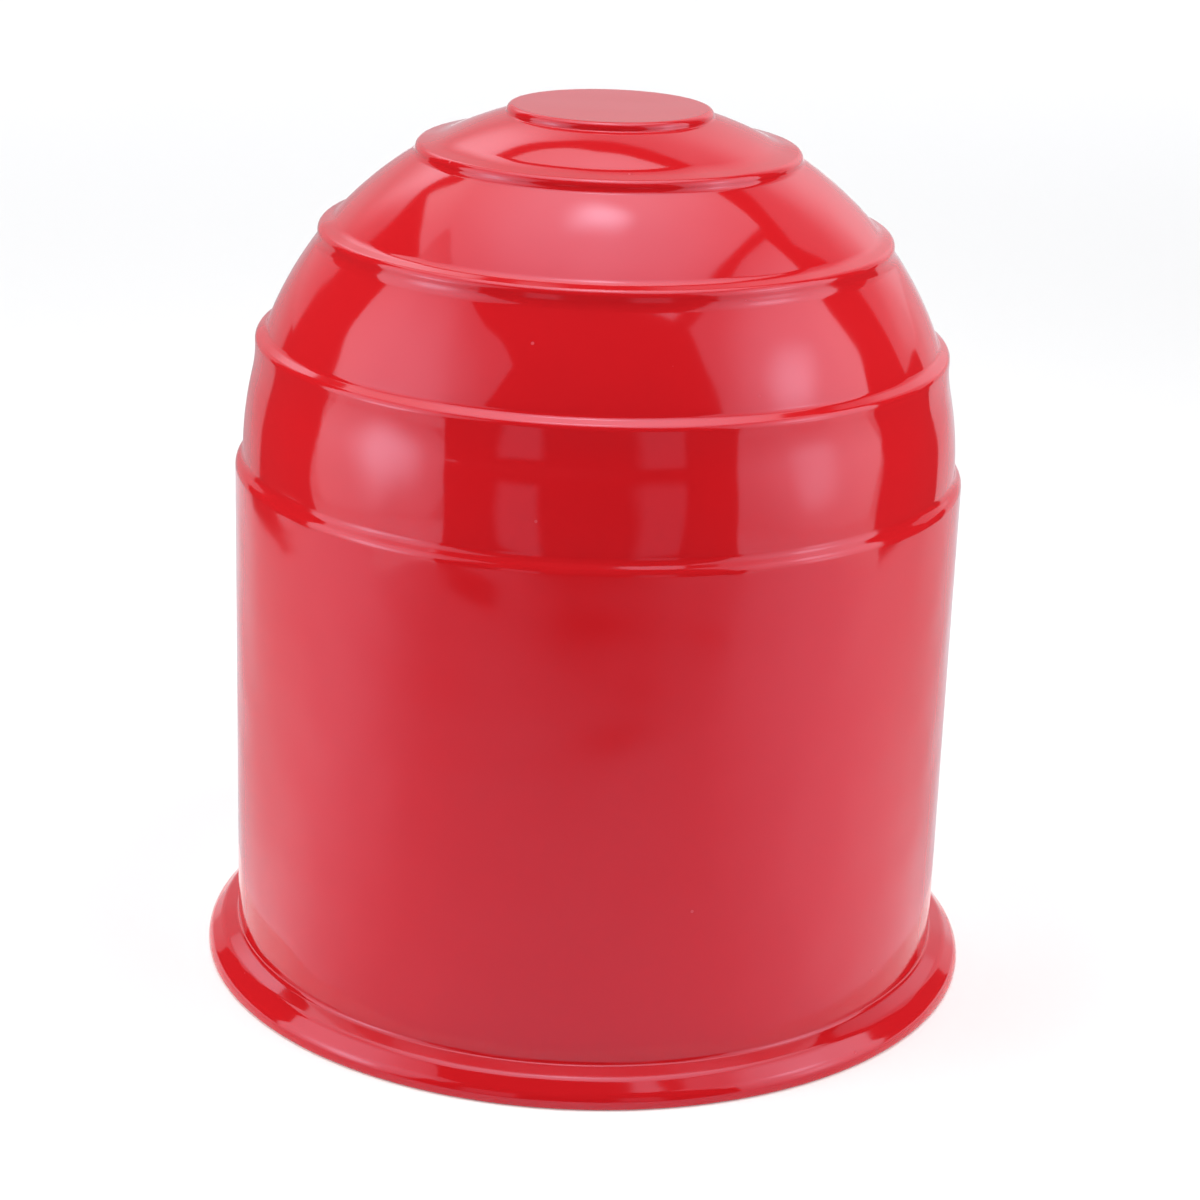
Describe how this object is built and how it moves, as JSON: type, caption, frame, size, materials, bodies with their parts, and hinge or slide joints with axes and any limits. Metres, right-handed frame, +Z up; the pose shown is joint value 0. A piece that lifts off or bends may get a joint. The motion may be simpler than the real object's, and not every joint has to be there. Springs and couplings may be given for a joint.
{
  "type": "tow ball cover",
  "caption": "Round moulded cap that drops over a towing ball: plain skirt with a foot bead, a dome of stepped rings and a flat disc on its crown.",
  "frame": {"origin": "centre of the rim that the cover stands on", "axes": "+Z up along the cover's axis, from the mouth to the disc on its crown; X and Y lie across it and are alike, since it is round"},
  "size_m": [0.0592, 0.0592, 0.0659],
  "materials": {
    "cover_plastic": "glossy moulded red plastic"
  },
  "bodies": {
    "root": {"cover": "cover_plastic"}
  },
  "joints": []
}
